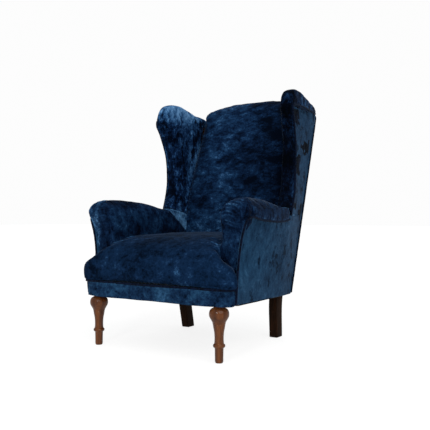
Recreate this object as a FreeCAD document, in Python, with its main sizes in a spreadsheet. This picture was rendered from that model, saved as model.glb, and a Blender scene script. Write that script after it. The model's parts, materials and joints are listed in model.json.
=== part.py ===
import FreeCAD, Part

import math
import os

from FreeCAD import Placement, Rotation, Vector

# High-back wing armchair with a fixed sprung seat, turned front legs and raked back legs.
# Millimetres. +Z up, the sitter faces -Y, +X is the sitter's left. The origin is on the
# floor, at the middle of the chair's footprint. The frame is beech, the stuffing is one
# solid for each section, and each velvet cover is a thin shell over its stuffing.

DOC = FreeCAD.newDocument("wing_armchair")
SHEET = DOC.addObject("Spreadsheet::Sheet", "dims")
GAP = 0.3  # clearance between a soft piece and what it lies against

DRIVING = [
    ("leg_height", 202),  # floor to the underside of the front rail
    ("leg_x", 289),  # front leg centre from the middle plane
    ("leg_y", -384),
    ("spigot_radius", 11),
    ("spigot_length", 45),
    ("rail_height", 52),
    ("rail_thick", 28),
    ("front_y", -414),  # face of the front rail's cover at the middle
    ("front_half", 352),  # half width of the front rail's cover
    ("corner_round", 46),
    ("front_top", 254),  # top of the front rail
    ("seat_base", 262),  # bottom edge of the seat's nose
    ("rear_bottom", 185),  # underside of the chair at the back
    ("rear_y", 198),  # outside back at its bottom edge
    ("rear_half_low", 278),  # half width of the outside back at the bottom
    ("rear_half_high", 310),  # and at the wings' top
    ("back_rake", 14),  # degrees
    ("back_length", 909),  # bottom edge to crest, along the rake
    ("back_shoulder", 836),  # bottom edge to where the arch starts
    ("back_half", 256),  # half width of the inside back
    ("wing_thick", 60),
    ("wing_lean", 2.6),  # degrees, how the wing leans outwards
    ("arm_inner", 262),  # inner face of the arm at its front
    ("arm_top", 590),
    ("arm_toe_in", 1.2),  # degrees, how the arms' inner faces close towards the back
    ("seat_crown", 444),
    ("post_thick", 38),
    ("post_depth", 46),
    ("foot_x", 232),  # back leg centre from the middle plane, at the floor
    ("foot_y", 153),
    ("post_lean", 3.2),  # degrees, how the back posts lean outwards
    ("origin_shift", 7.5),  # from the drawing's zero to the middle of the whole chair
    ("panel_thick", 5),
    ("cover_thick", 3),
    ("welt_radius", 4),
    ("web_width", 50),
    ("web_thick", 2),
    ("spring_radius", 38),
    ("spring_wire", 1.9),
    ("spring_height", 137),
    ("spring_turns", 5),
]
for row, (alias, value) in enumerate(DRIVING, start=1):
    SHEET.set(f"A{row}", alias)
    SHEET.set(f"B{row}", str(value))
    SHEET.setAlias(f"B{row}", alias)
DOC.recompute()

PARTS = []  # every object that is written to parts/


def d(alias):
    return float(SHEET.get(alias))


def keep(obj, label):
    obj.Label = label
    PARTS.append(obj)
    return obj


def feature(label, shape):
    obj = DOC.addObject("Part::Feature", label)
    obj.Shape = shape
    return keep(obj, label)


def bind(obj, **expressions):
    for prop, expression in expressions.items():
        obj.setExpression(prop, expression)
    return obj


def beam_shape(start, end, width, height, roll=0.0):
    """A straight bar whose axis runs from start to end. Width is level, height is across it."""
    run = Vector(end) - Vector(start)
    bar = Part.makeBox(run.Length, width, height, Vector(0, -width / 2, -height / 2))
    level = Vector(0, 0, 1).cross(run)
    turn = Rotation(run, level, Vector(0, 0, 1), "XZY")
    bar.Placement = Placement(Vector(start), turn.multiply(Rotation(Vector(1, 0, 0), roll)))
    return bar


def beam(label, start, end, width, height, roll=0.0):
    """A frame bar as a Part::Box. Width and height are names of sheet cells."""
    run = Vector(end) - Vector(start)
    box = DOC.addObject("Part::Box", label)
    box.Length = run.Length
    bind(box, Width=f"dims.{width}", Height=f"dims.{height}")
    level = Vector(0, 0, 1).cross(run)
    turn = Rotation(run, level, Vector(0, 0, 1), "XZY")
    turn = turn.multiply(Rotation(Vector(1, 0, 0), roll))
    offset = turn.multVec(Vector(0, -d(width) / 2, -d(height) / 2))
    box.Placement = Placement(Vector(start) + offset, turn)
    return keep(box, label)


def closed_wire(points, smooth=()):
    """A closed outline. Each stretch in smooth, a pair of indices, is one spline through its points."""
    points = [Vector(*p) for p in points]
    edges, i, last = [], 0, len(points)
    ends = dict(smooth)
    while i < last:
        j = ends.get(i, i + 1)
        run = [points[k % last] for k in range(i, j + 1)]
        if len(run) > 2:
            curve = Part.BSplineCurve()
            curve.interpolate(run)
            edges.append(curve.toShape())
        else:
            edges.append(Part.makeLine(run[0], run[1]))
        i = j
    return Part.Wire(edges)


def slab(points, direction, smooth=()):
    return Part.Face(closed_wire(points, smooth)).extrude(Vector(*direction))


def side_slab(outline, smooth=(), half=520):
    """A prism right across the chair, from an outline of (y, z)."""
    return slab([(-half, y, z) for y, z in outline], (2 * half, 0, 0), smooth)


def welt(label, points, closed=False):
    """A piping cord: a tube along straight runs joined by tangent arcs."""
    points = [Vector(*p) for p in points]
    edges, here = [], points[0]
    for before, at, after in zip(points, points[1:], points[2:]):
        into, out = (at - before).normalize(), (after - at).normalize()
        turn = into.getAngle(out)
        if turn < math.radians(0.5):
            continue
        reach = 0.45 * min(at.distanceToPoint(before), at.distanceToPoint(after))
        radius = reach / math.tan(turn / 2)
        first, last = at - into * reach, at + out * reach
        inward = (out - into).normalize()
        middle = at + inward * (radius / math.cos(turn / 2) - radius)
        edges.append(Part.makeLine(here, first))
        edges.append(Part.Arc(first, middle, last).toShape())
        here = last
    edges.append(Part.makeLine(here, points[-1]))
    path = Part.Wire(edges)
    along = (points[1] - points[0]).normalize()
    ring = Part.Wire(Part.makeCircle(d("welt_radius"), points[0], along))
    tube = path.makePipeShell([ring], True, True)
    expected = math.pi * d("welt_radius") ** 2 * path.Length
    print(f"{label}: {path.Length:.0f} mm of cord, volume {tube.Volume / expected:.3f} of its section times length")
    return feature(label, tube)


def mirrored(shape):
    return shape.mirror(Vector(0, 0, 0), Vector(1, 0, 0))


def both_sides(name, shape):
    """The sitter's left piece and its mirror image."""
    return feature(f"left_{name}", shape), feature(f"right_{name}", mirrored(shape))


# ---------------------------------------------------------------- reference lines
RAKE = math.radians(d("back_rake"))
REAR = Vector(0, d("rear_y"), d("rear_bottom"))


def rear_y(z):
    """Y of the outside back at a height."""
    return d("rear_y") + (z - d("rear_bottom")) * math.tan(RAKE)


def rear_half(z):
    """Half width of the outside back at a height."""
    share = (z - d("rear_bottom")) / 798.0
    return d("rear_half_low") + share * (d("rear_half_high") - d("rear_half_low"))


def back_frame(shape):
    """Moves a shape from the back's own axes (x, depth, length up the rake) into the chair."""
    placed = shape.copy()
    placed.Placement = Placement(REAR, Rotation(Vector(1, 0, 0), -d("back_rake")))
    return placed


def back_point(x, depth, up):
    """A point given by x, depth behind (+) or before (-) the outside back, and length up the rake."""
    return REAR + Rotation(Vector(1, 0, 0), -d("back_rake")).multVec(Vector(x, depth, up))


def underside(y):
    """Underside of the front and back rails, which falls towards the back."""
    share = (y - d("front_y")) / (d("rear_y") - d("front_y"))
    return d("leg_height") + share * (d("rear_bottom") - d("leg_height"))


# Front edge of the outside arm panel, bottom to top, then of the outside wing, bottom to top.
ARM_EDGE = [(350, -374, 207), (354, -374, 258), (349, -362, 300), (341, -344, 330), (344, -339, 382),
            (353, -338, 438), (366, -338, 482), (380, -337, 512)]
WING_EDGE = [(334, 88, 520), (335, 119, 610), (333, 130, 690), (338, 126, 802), (347, 94, 900),
             (352, 68, 950), (349, 90, 981)]


def rear_corner(z):
    return (rear_half(z), rear_y(z), z)


def smooth_edge(points):
    curve = Part.BSplineCurve()
    curve.interpolate([Vector(*p) for p in points])
    return Part.Wire(curve.toShape())


def outside_wall(inset, thick):
    """Arm part and wing part of the outside panel: skins between edges, thickened inwards."""

    def skin(*edges):
        wires = [smooth_edge([(x - inset, y, z) for x, y, z in edge]) for edge in edges]
        return Part.makeLoft(wires, False, False).Faces[0].extrude(Vector(-thick, 0, 0))

    belly = [(297, 92, 190), (308, 92, 290), (321, 92, 400), (335, 92, 521)]
    arm = skin(ARM_EDGE, belly, [rear_corner(185), rear_corner(521)])
    wing = skin(WING_EDGE, [rear_corner(514), rear_corner(981)])
    return arm, wing


def outside_panels(arm_space, cords, closing_back):
    arm, wing = outside_wall(0, d("panel_thick"))
    ahead = arm_space.common(Part.makeBox(500, 600, 900, Vector(100, -504, 0)))
    pieces = [cut_all(piece, [ahead, closing_back] + cords) for piece in (arm, wing)]
    both_sides("outside_panel", largest(pieces[0].fuse(pieces[1])))


WELT_OUT = 3.6  # how far the piping's centre stands outside the panel's edge
ARM_RIDGE = [(-350, 550), (-336, 571), (-300, 583), (-250, 587), (-198, 586), (-107, 578), (-2, 560), (116, 541),
             (200, 516)]


def arm_side(inset):
    """Side outline of the arm, (y, z), from the rail up the front and over."""
    front = [(-350 + inset, 259), (-339 + inset, 330), (-336 + inset, 430), (-342 + inset, 494),
             (-353 + inset, 528)]
    ridge = [(y + inset * (y < -340), z - inset) for y, z in ARM_RIDGE]
    rear = [(232 - inset, 490), (236 - inset, 430), (180, 259)]
    return side_slab(front + ridge + rear, ((0, len(front) + len(ridge)),))


def arm_section(y, inner, outer, inset):
    """Front outline of the arm at a depth. Widths run from 0 at the inner face to 1 at the roll's edge."""
    top = d("arm_top")
    shape = [(0, 259), (0, 480), (0.02, 515), (0.16, 558), (0.4, top - 8), (0.63, top + 3), (0.87, 578), (1, 548),
             (0.99, 522), (0.89, 503), (0.79, 478), (0.68, 438), (0.6, 382), (0.57, 330), (0.62, 259)]
    low, high = inner + inset, outer - inset
    points = []
    for share, z in shape:
        lift = -inset if z > 540 else 0
        points.append((low + share * (high - low), y, z + lift))
    return closed_wire(points, ((1, 14),))


def arm_body(inset):
    inner, close = d("arm_inner"), math.tan(math.radians(d("arm_toe_in")))
    front = arm_section(-372, inner, 394, inset)
    rear = arm_section(248, inner - close * 620, 306, inset)
    return Part.makeLoft([front, rear], True, True).common(arm_side(inset))


def wing_side(inset):
    """Side outline of the wing, (y, z): down the front from the ear, and up the back."""
    t = inset
    front = [(118, 1050 - t), (78 + t * 0.7, 1030 - t * 0.7), (60 + t, 990), (60 + t, 950), (86 + t, 890),
             (112 + t, 815), (121 + t, 740), (118 + t, 660), (99 + t, 590), (66 + t, 535)]
    low = [(150, 440)]
    back = [(rear_y(440) - 30, 440), (rear_y(467) - 10 - t, 467), (rear_y(990) - 10 - t, 990)]
    top = [(rear_y(1000) - 30, 1004 - t), (300, 1020 - t), (210, 1043 - t)]
    return side_slab(front + low + back + top, ((0, 9), (13, 17)))


def wing_section(inset):
    """Plan band of the wing, carried up with its outward lean."""
    lean = math.tan(math.radians(d("wing_lean")))
    low, high = 430, 1060
    thick = d("wing_thick")
    outer = [(342, 40), (338, 130), (312, 430)]
    inner = [(308 - thick, 430), (332 - thick - 2, 130), (336 - thick + 8, 66), (336 - thick + 26, 40)]
    points = [(x - inset, y) for x, y in outer] + [(x + inset, y) for x, y in inner]
    base = lean * (low - 690)
    return slab([(x + base, y, low) for x, y in points], (lean * (high - low), 0, high - low))


def wing_body(inset):
    return wing_section(inset).common(wing_side(inset))


# ---------------------------------------------------------------- inside back
def back_body(inset):
    """The inside back: an arched outline, domed towards the sitter. Back's own axes."""
    t, half = inset, d("back_half") - inset
    crest, shoulder = d("back_length") - t, d("back_shoulder") - t
    arch = [(-half, 60 + t), (half, 60 + t), (half, shoulder), (half - 14, shoulder + 22),
            (half - 48, shoulder + 40), (half - 100, shoulder + 57), (0, crest), (-half + 100, shoulder + 57),
            (-half + 48, shoulder + 40), (-half + 14, shoulder + 22), (-half, shoulder)]
    outline = slab([(x, -200, z) for x, z in arch], (0, 200, 0), ((2, 10),))
    depth = [(-8 - t, 60), (-8 - t, crest - 22), (-22, crest - 4), (-46, crest - 1), (-72 + t, crest - 24),
             (-92 + t, 800), (-112 + t, 600), (-118 + t, 420), (-108 + t, 270), (-84 + t, 180), (-84 + t, 60)]
    front = slab([(-400, y, z) for y, z in depth], (800, 0, 0), ((1, 9),))
    return outline.common(front)


# ---------------------------------------------------------------- seat
def seat_body(inset):
    """The seat: domed, with ears that run round in front of the arms. Its inner shape reaches a little lower."""
    t = inset
    close = math.tan(math.radians(d("arm_toe_in")))
    inner = d("arm_inner") - GAP - t
    front, base = d("front_y"), d("seat_base") - (1 if t else 0)
    nose = [(-(371 - t), -379), (-(365 - t), -396), (-(344 - t), -413 + t), (-300, front - 8 + t),
            (-150, front - 18 + t)]
    plan = nose + [(0, front - 22 + t)] + [(-x, y) for x, y in reversed(nose)]
    notch = [(343 - t, -379), (343 - t, -360), (inner, -360), (inner - close * 520, 162)]
    plan += notch + [(-x, y) for x, y in reversed(notch)]
    body = slab([(x, y, base) for x, y in plan], (0, 0, 240), ((0, 10),))
    crown = d("seat_crown") - t
    depth = [(180, base), (front + 6 + t, base), (front - 20 + t, 292), (front - 14 + t, 335),
             (front + 22, 380 - t), (front + 90, 418 - t), (-180, crown - 3), (-60, crown), (60, crown - 5),
             (180, crown - 16)]
    edge = [(361 - t, base), (371 - t, 279), (373 - t, 295), (368 - t, 311), (356 - t, 325 - t / 2),
            (340 - t / 2, 336 - t), (320, 345 - t), (300, 356 - t), (284, 371 - t), (270, 391 - t), (250, 415 - t),
            (190, 433 - t), (100, crown - 4)]
    width = [(-x, z) for x, z in edge] + [(0, crown)] + list(reversed(edge))
    along = side_slab(depth, ((1, 9),))
    across = slab([(x, -480, z) for x, z in width], (0, 700, 0), ((0, len(width) - 1),))
    return body.common(along).common(across)


def seat_plinth():
    """The part of the stuffing that sits inside the seam and bears on the rails."""
    front, rim, top = d("front_y"), d("front_top") + GAP, d("seat_base")
    edge = [(320, -376), (290, front + 16), (-290, front + 16), (-320, -376), (-320, -352), (-240, 120), (240, 120),
            (320, -352)]
    return slab([(x, y, rim) for x, y in edge], (0, 0, top - rim))


def spring_tent(grow):
    """The hessian tent over the springs, as a wedge whose top is smaller than its foot."""
    tent = DOC.addObject("Part::Wedge", "tent_outer" if grow else "tent_inner")
    tent.Xmin, tent.Xmax = -212 - grow, 212 + grow
    tent.Ymin, tent.Ymax = 0, 106 + grow
    tent.Zmin, tent.Zmax = -110 - grow, 345 + grow
    tent.X2min, tent.X2max = -170 - grow, 170 + grow
    tent.Z2min, tent.Z2max = -90 - grow, 300 + grow
    tent.Placement = Placement(Vector(0, -20, 254.5), Rotation(Vector(1, 0, 0), 90))
    return tent


# ---------------------------------------------------------------- legs
LEG_PROFILE = [(12.5, 0), (14.8, 5), (15.5, 50), (17, 53), (22, 60), (17.5, 67), (16.6, 75), (16.4, 94),
               (18.2, 112), (21.8, 130), (24.6, 143), (30, 153), (34.6, 162), (36, 171), (34.4, 181),
               (28, 190), (18.5, 196), (17, 202)]


def turned_leg(side, sign):
    """A turned leg as a PartDesign body: a half profile about its own axis, with its spigot."""
    body = DOC.addObject("PartDesign::Body", f"{side}_front_leg")
    sketch = body.newObject("Sketcher::SketchObject", f"{side}_leg_profile")
    plane = next(f for f in body.Origin.OriginFeatures if f.Role == "XZ_Plane")
    sketch.AttachmentSupport = [(plane, "")]
    sketch.MapMode = "FlatFace"
    pts = [Vector(r, z, 0) for r, z in LEG_PROFILE]
    ring_low, ring_high, top = 3, 5, len(pts) - 1
    geometry = [Part.LineSegment(Vector(0, 0, 0), pts[0]), Part.LineSegment(pts[0], pts[1]),
                Part.LineSegment(pts[1], pts[2]), Part.LineSegment(pts[2], pts[ring_low]),
                Part.Arc(pts[ring_low], pts[ring_low + 1], pts[ring_high])]
    vase = Part.BSplineCurve()
    vase.interpolate(pts[ring_high:])
    geometry.append(vase)
    spigot_r, spigot_top = d("spigot_radius"), pts[top].y + d("spigot_length")
    corners = [pts[top], Vector(spigot_r, pts[top].y, 0), Vector(spigot_r, spigot_top, 0),
               Vector(0, spigot_top, 0), Vector(0, 0, 0)]
    geometry += [Part.LineSegment(a, b) for a, b in zip(corners, corners[1:])]
    sketch.addGeometry(geometry, False)
    turned = body.newObject("PartDesign::Revolution", f"{side}_turning")
    turned.Profile = sketch
    turned.ReferenceAxis = (sketch, ["V_Axis"])
    turned.Angle = 360
    body.Placement = Placement(Vector(sign * d("leg_x"), d("leg_y"), 0), Rotation())
    return keep(body, f"{side}_front_leg")


def back_post(side, sign, floor):
    """Post and raked back leg in one piece: a profile padded to its thickness, its foot cut level."""
    body = DOC.addObject("PartDesign::Body", f"{side}_post_body")
    sketch = body.newObject("Sketcher::SketchObject", f"{side}_post_profile")
    plane = next(f for f in body.Origin.OriginFeatures if f.Role == "YZ_Plane")
    sketch.AttachmentSupport = [(plane, "")]
    sketch.MapMode = "FlatFace"
    deep, top, foot = d("post_depth"), 965, d("foot_y")
    rear = [(foot + deep / 2, -4), (foot + deep / 2 - 9, 70), (foot + deep / 2 - 15, 150),
            (foot + deep / 2 - 8, 205), (rear_y(300) - 14, 300), (rear_y(top) - 14, top)]
    front = [(rear_y(top) - 14 - deep + 8, top), (rear_y(300) - 14 - deep, 300),
             (foot - deep / 2 - 17, 220), (foot - deep / 2 - 24, 150), (foot - deep / 2 - 14, 70),
             (foot - deep / 2 - 3, -4)]
    pts = [Vector(y, z, 0) for y, z in rear + front]
    geometry = []
    for run in (pts[0:4], pts[3:5], pts[4:6], pts[5:7], pts[6:8], pts[7:9], pts[8:12], [pts[11], pts[0]]):
        if len(run) == 2:
            geometry.append(Part.LineSegment(run[0], run[1]))
        else:
            curve = Part.BSplineCurve()
            curve.interpolate(run)
            geometry.append(curve)
    sketch.addGeometry(geometry, False)
    pad = body.newObject("PartDesign::Pad", f"{side}_post_pad")
    pad.Profile = sketch
    pad.SideType = "Symmetric"
    pad.setExpression("Length", "dims.post_thick")
    body.Placement = Placement(Vector(sign * d("foot_x"), 0, 0), Rotation(Vector(0, 1, 0), sign * d("post_lean")))
    post = DOC.addObject("Part::Cut", f"{side}_back_post")
    post.Base = body
    post.Tool = floor
    return keep(post, f"{side}_back_post")


def post_x(z):
    """Centre of a back post at a height."""
    return d("foot_x") + z * math.tan(math.radians(d("post_lean")))


# ---------------------------------------------------------------- seat frame
def front_rail():
    """Bowed front rail with rounded corners, sawn from one board."""
    front, half, thick = d("front_y") + d("panel_thick"), d("front_half") - d("panel_thick") - 3, d("rail_thick")
    r = d("corner_round")
    bow = 8
    c = r * (1 - math.sqrt(0.5))
    outer = [(-half, front + r + 18), (-half, front + r), (-half + c, front + c), (-half + r, front),
             (0, front - bow), (half - r, front), (half - c, front + c), (half, front + r), (half, front + r + 18)]
    inner = [(half - thick, front + r + 18), (half - thick - 6, front + thick + 12), (half - 2 * thick, front + thick),
             (-half + 2 * thick, front + thick), (-half + thick + 6, front + thick + 12),
             (-half + thick, front + r + 18)]
    low = d("leg_height")
    points = [(x, y, low) for x, y in outer + inner]
    return slab(points, (0, 0, d("front_top") - low), ((1, 7),))


def seat_frame():
    front_end = d("front_y") + d("panel_thick") + d("corner_round") + 22
    feature("front_seat_rail", front_rail().cut(leg_holes()))
    rail, thick = d("rail_height"), d("rail_thick")
    for side, sign in (("left", 1), ("right", -1)):
        x0 = d("front_half") - d("panel_thick") - thick / 2 - 4
        x1 = post_x(210) + 2
        y1 = d("foot_y") - d("post_depth") / 2 - 27
        z0, z1 = underside(front_end) + rail / 2 + 2.3, underside(y1) + rail / 2 + 2.3
        start, end = (sign * x0, front_end, z0), (sign * x1, y1, z1)
        beam(f"{side}_seat_rail", start, end, "rail_thick", "rail_height")
    y_mid = d("foot_y") - 4
    z1 = underside(y_mid) + rail / 2
    reach = post_x(180) - d("post_thick") / 2 - 1
    beam("back_seat_rail", (-reach, y_mid, z1), (reach, y_mid, z1), "rail_thick", "rail_height")


def leg_holes():
    holes = []
    for sign in (1, -1):
        at = Vector(sign * d("leg_x"), d("leg_y"), d("leg_height"))
        holes.append(Part.makeCylinder(d("spigot_radius") + 0.05, d("spigot_length") + 1, at))
    return holes[0].fuse(holes[1])


def screw(at, direction, length=50):
    """A countersunk woodscrew, its head at a point and its shank along a direction."""
    shank = Part.makeCylinder(2.2, length, Vector(*at), Vector(*direction))
    head = Part.makeCone(4.4, 2.2, 3.2, Vector(*at), Vector(*direction))
    return shank.fuse(head)


def corner_blocks():
    """Triangular blocks glued and screwed into the corners of the seat frame."""
    inner_y = d("front_y") + d("panel_thick") + d("rail_thick")
    low, high = underside(-350) + 8, d("front_top") - 12
    inside = d("front_half") - d("panel_thick") - d("rail_thick") - 5
    fore = [(inside, inner_y + 76, low), (inside, inner_y, low), (206, inner_y, low), (206, inner_y + 16, low)]
    frame = [front_rail(), leg_holes(), by_label("left_seat_rail")]
    front_screws = [screw((245, inner_y + 38, 226), (0, -1, 0)), screw((272, inner_y + 51, 222), (1, 0, 0))]
    block = cut_all(slab(fore, (0, 0, high - low)), frame + front_screws)
    both_sides("front_corner_block", largest(block))
    x, y = post_x(200) - d("post_thick") / 2 - 1, d("foot_y") - 4 - d("rail_thick") / 2 - 0.2
    low = underside(y) + 12
    rear = [(x + 4, y - 72, low), (x + 4, y - 28, low), (x, y - 26, low), (x, y, low), (142, y, low),
            (142, y - 14, low)]
    frame = [by_label("left_back_post"), by_label("left_seat_rail")]
    rear_screws = [screw((182, y - 40, 214), (0, 1, 0)), screw((196, y - 50, 218), (1, 0, 0))]
    both_sides("back_corner_block", largest(cut_all(slab(rear, (0, 0, 38)), frame + rear_screws)))
    found = front_screws + rear_screws
    feature("corner_block_screws", Part.makeCompound(found + [mirrored(s) for s in found]))


# ---------------------------------------------------------------- arm, wing and back frames
def arm_frames():
    stump_x, stump_y = 304, -306
    rail_z = 556
    top_back = (post_x(540) + 9, rear_y(540) - 14 - d("post_depth") - 14, 488)
    for side, sign in (("left", 1), ("right", -1)):
        beam(f"{side}_arm_stump", (sign * (stump_x - 3), stump_y, d("front_top") + GAP),
             (sign * (stump_x + 8), stump_y, rail_z - 18), "post_depth", "post_thick")
        beam(f"{side}_arm_rail", (sign * (stump_x + 10), stump_y - 20, rail_z),
             (sign * top_back[0], top_back[1], top_back[2]), "rail_thick", "rail_thick")
        low_back = (post_x(300) + 4, rear_y(300) - 14 - d("post_depth") - 14, 296)
        beam(f"{side}_arm_tacking_rail", (sign * (stump_x - 2), stump_y + 25, 300),
             (sign * low_back[0], low_back[1], low_back[2]), "rail_thick", "rail_thick")


def wing_frames():
    """Shaped front post and top rail of each wing, sawn from boards."""
    t = 24
    lean = math.tan(math.radians(d("wing_lean")))
    front = [(96, 570), (113, 600), (132, 660), (136, 740), (127, 815), (100, 890), (78, 950), (80, 985), (96, 1012)]
    rear = [(134, 1012), (122, 985), (124, 950), (146, 890), (170, 815), (178, 740), (174, 660), (150, 600), (126, 570)]
    base_x = 317
    post = slab([(base_x + lean * (570 - 690), y, z) for y, z in front + rear], (-t, 0, 0), ((0, 8), (9, 17)))
    post = sheared(post, lean, 570)
    both_sides("wing_post", post)
    at = Vector(base_x + lean * 300 - t / 2 - 1, 138, 994)
    to = Vector(post_x(950) + 6, rear_y(950) - 14 - d("post_depth") - 8, 940)
    for side, sign in (("left", 1), ("right", -1)):
        beam(f"{side}_wing_rail", (sign * at.x, at.y, at.z), (sign * to.x, to.y, to.z), "rail_thick", "post_thick")


def sheared(shape, lean, low):
    """Leans a shape outwards with height."""
    matrix = FreeCAD.Matrix()
    matrix.A13 = lean
    matrix.A14 = -lean * low
    return shape.transformGeometry(matrix)


def back_frames():
    half = 248
    arch = [(-half, 780), (half, 780), (half, 832), (half - 40, 856), (half - 110, 874), (0, 882),
            (-half + 110, 874), (-half + 40, 856), (-half, 832)]
    crest = slab([(x, -18, z) for x, z in arch], (0, -d("rail_thick"), 0), ((2, 8),))
    feature("crest_rail", back_frame(crest))
    reach = post_x(320) - d("post_thick") / 2 - 2
    low, high = back_point(-reach, -32, 150), back_point(reach, -32, 150)
    beam("back_tacking_rail", tuple(low), tuple(high), "rail_thick", "rail_height", -d("back_rake"))


# ---------------------------------------------------------------- webbing, springs, hessian
def straps(label, runs, roll=0.0):
    found = [beam_shape(a, b, d("web_width"), d("web_thick"), roll) for a, b in runs]
    return feature(label, Part.makeCompound(found))


def webbing():
    """Jute straps under the seat frame and over the front of the back frame, in two layers."""
    front, rear = d("front_y") + d("panel_thick") + 8, d("foot_y") + 6
    half = d("web_thick") / 2 + 0.4
    xs = (-200, -100, 0, 100, 200)
    runs = [((x, front, underside(front) - half), (x * 0.88, rear, underside(rear) - half)) for x in xs]
    straps("seat_webbing_lengthwise", runs)
    runs = []
    for y in (-270, -170, -70, 30):
        reach = 336 - (y + 340) * 0.2
        z = underside(y) + half
        runs.append(((-reach, y, z), (reach, y, z)))
    slope = math.degrees(math.atan2(d("leg_height") - d("rear_bottom"), d("rear_y") - d("front_y")))
    straps("seat_webbing_crosswise", runs, -slope)
    width, thick = d("web_width"), d("web_thick")
    upright = [back_frame(Part.makeBox(width, thick, 730, Vector(x - width / 2, -48.3, 135)))
               for x in (-150, -50, 50, 150)]
    feature("back_webbing_upright", Part.makeCompound(upright))
    level = [back_frame(Part.makeBox(420, thick, width, Vector(-210, -50.5, z))) for z in (260, 400, 540, 680)]
    feature("back_webbing_level", Part.makeCompound(level))


def coil_spring(x, y):
    """A waisted coil spring, bent from wire in short arcs, four to a turn."""
    turns, height, wide = int(d("spring_turns")), d("spring_height"), d("spring_radius")
    base = underside(y) + d("web_thick") + d("spring_wire") + 1.5
    points = []
    for k in range(8 * turns + 1):
        share = k / (8 * turns)
        radius = wide * (0.72 + 0.28 * (2 * share - 1) ** 2)
        turned = math.pi * k / 4
        points.append(Vector(x + radius * math.cos(turned), y + radius * math.sin(turned), base + height * share))
    arcs = [Part.Arc(*points[k:k + 3]).toShape() for k in range(0, len(points) - 2, 2)]
    along = arcs[0].tangentAt(arcs[0].FirstParameter)
    ring = Part.Wire(Part.makeCircle(d("spring_wire"), points[0], along))
    return Part.Wire(arcs).makePipeShell([ring], True, True)


def springs():
    spots = [(x, y) for x in (-120, 0, 120) for y in (-250, -120, 10)]
    feature("seat_springs", Part.makeCompound([coil_spring(x, y) for x, y in spots]))


# ---------------------------------------------------------------- upholstery
def cut_all(shape, tools):
    for tool in tools:
        if shape.BoundBox.intersect(tool.BoundBox):
            shape = shape.cut(tool)
    return shape


def largest(shape):
    """The main solid, without any crumb that a cut left behind."""
    return max(shape.Solids, key=lambda s: s.Volume)


def by_label(label):
    return next(o for o in PARTS if o.Label == label).Shape


def upholstery():
    skin = d("cover_thick")
    wood = ["left_arm_stump", "left_arm_rail", "left_arm_tacking_rail", "left_wing_post", "left_wing_rail",
            "left_back_post", "left_seat_rail", "crest_rail", "back_tacking_rail", "back_seat_rail"]
    frame = [by_label(name) for name in wood]
    frame_all = frame + [mirrored(s) for s in frame[:7]]
    cords = [by_label(name) for name in ("left_arm_piping", "left_wing_piping", "back_piping", "seat_piping")]
    back_outer, back_inner = back_frame(back_body(0)), back_frame(back_body(skin))
    wall_arm, wall_wing = outside_wall(-24, 24 + d("panel_thick") + GAP)
    below_roll = wall_arm.common(Part.makeBox(300, 900, 306, Vector(200, -450, 184)))
    behind_wing = Part.makeBox(300, 500, 900, Vector(200, 96, 180))
    beside = [below_roll, wall_arm.common(behind_wing), wall_wing.common(behind_wing), back_outer]
    arm_outer, arm_inner = cut_all(arm_body(0), beside), cut_all(arm_body(skin), beside)
    arm_space = arm_body(-GAP)
    wing_outer = cut_all(wing_body(0), [wall_wing, wall_arm, back_outer, arm_space])
    wing_inner = cut_all(wing_body(skin), [wall_wing, wall_arm, back_outer, arm_body(-skin)])
    closing_back = outside_back()
    outside_panels(arm_space, cords, closing_back)
    wall = [by_label("left_outside_panel")]
    both_sides("arm_cover", largest(cut_all(arm_outer, [arm_inner] + frame + wall + cords)))
    both_sides("arm_stuffing", largest(cut_all(arm_inner, frame + wall + cords)))
    both_sides("wing_cover", largest(cut_all(wing_outer, [wing_inner] + frame + cords)))
    both_sides("wing_stuffing", largest(cut_all(wing_inner, frame + cords)))
    feature("outside_back_panel", largest(cut_all(closing_back, [cords[2]])))
    webs = [by_label("back_webbing_upright"), by_label("back_webbing_level")]
    feature("back_cover", largest(cut_all(back_outer, [back_inner] + frame_all)))
    feature("back_stuffing", largest(cut_all(back_inner, frame_all + webs)))
    tent_out, tent_in = spring_tent(1.5), spring_tent(0)
    DOC.recompute()
    feature("seat_hessian", tent_out.Shape.cut(tent_in.Shape))
    around = [arm_space, mirrored(arm_space), wall[0], mirrored(wall[0]), cords[0], mirrored(cords[0]), cords[3]]
    blocked = [back_frame(back_body(-GAP)), tent_out.Shape] + around + frame_all
    seat_outer, seat_inner = seat_body(0), seat_body(skin)
    feature("seat_cover", largest(cut_all(seat_outer, [seat_inner] + blocked)))
    feature("seat_stuffing", largest(cut_all(seat_inner.fuse(seat_plinth()), blocked)))


def front_border():
    """Velvet band over the front rail, from one side piping to the other."""
    thick = d("panel_thick")
    front, half, r = d("front_y"), d("front_half"), d("corner_round") + 4
    low, high = d("leg_height") + 0.5, d("front_top")
    rail = front_rail()

    def ring(inset):
        c = r * (1 - math.sqrt(0.5))
        f, h = front + inset, half - inset
        out = [(-h, f + r + 14), (-h, f + r), (-h + c, f + c), (-h + r, f), (0, f - 8), (h - r, f),
               (h - c, f + c), (h, f + r), (h, f + r + 14)]
        return slab([(x, y, low) for x, y in out], (0, 0, high - low), ((1, 7),))

    ahead = Part.makeBox(1000, 200, 300, Vector(-500, -581.3, 100))
    return ring(0).cut(ring(thick)).cut(rail).common(ahead)


def outside_back():
    """Flat velvet panel that closes the back, with an arched top."""
    low_half, high_half = rear_half(190) - 2, rear_half(981) - 2
    crest = d("back_length") - 14
    arch = [(-low_half, 2), (low_half, 2), (high_half, 806), (high_half - 30, 832), (180, 868), (0, crest),
            (-180, 868), (-high_half + 30, 832), (-high_half, 806)]
    panel = slab([(x, -d("panel_thick") - 2, z) for x, z in arch], (0, d("panel_thick") + 2, 0), ((2, 8),))
    return back_frame(panel)


DUST_EDGE = [(-334, -330), (-226, -405), (226, -405), (334, -330), (286, 92), (266, 102), (222, 102), (222, 172),
             (-222, 172), (-222, 102), (-266, 102), (-286, 92)]


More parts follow.
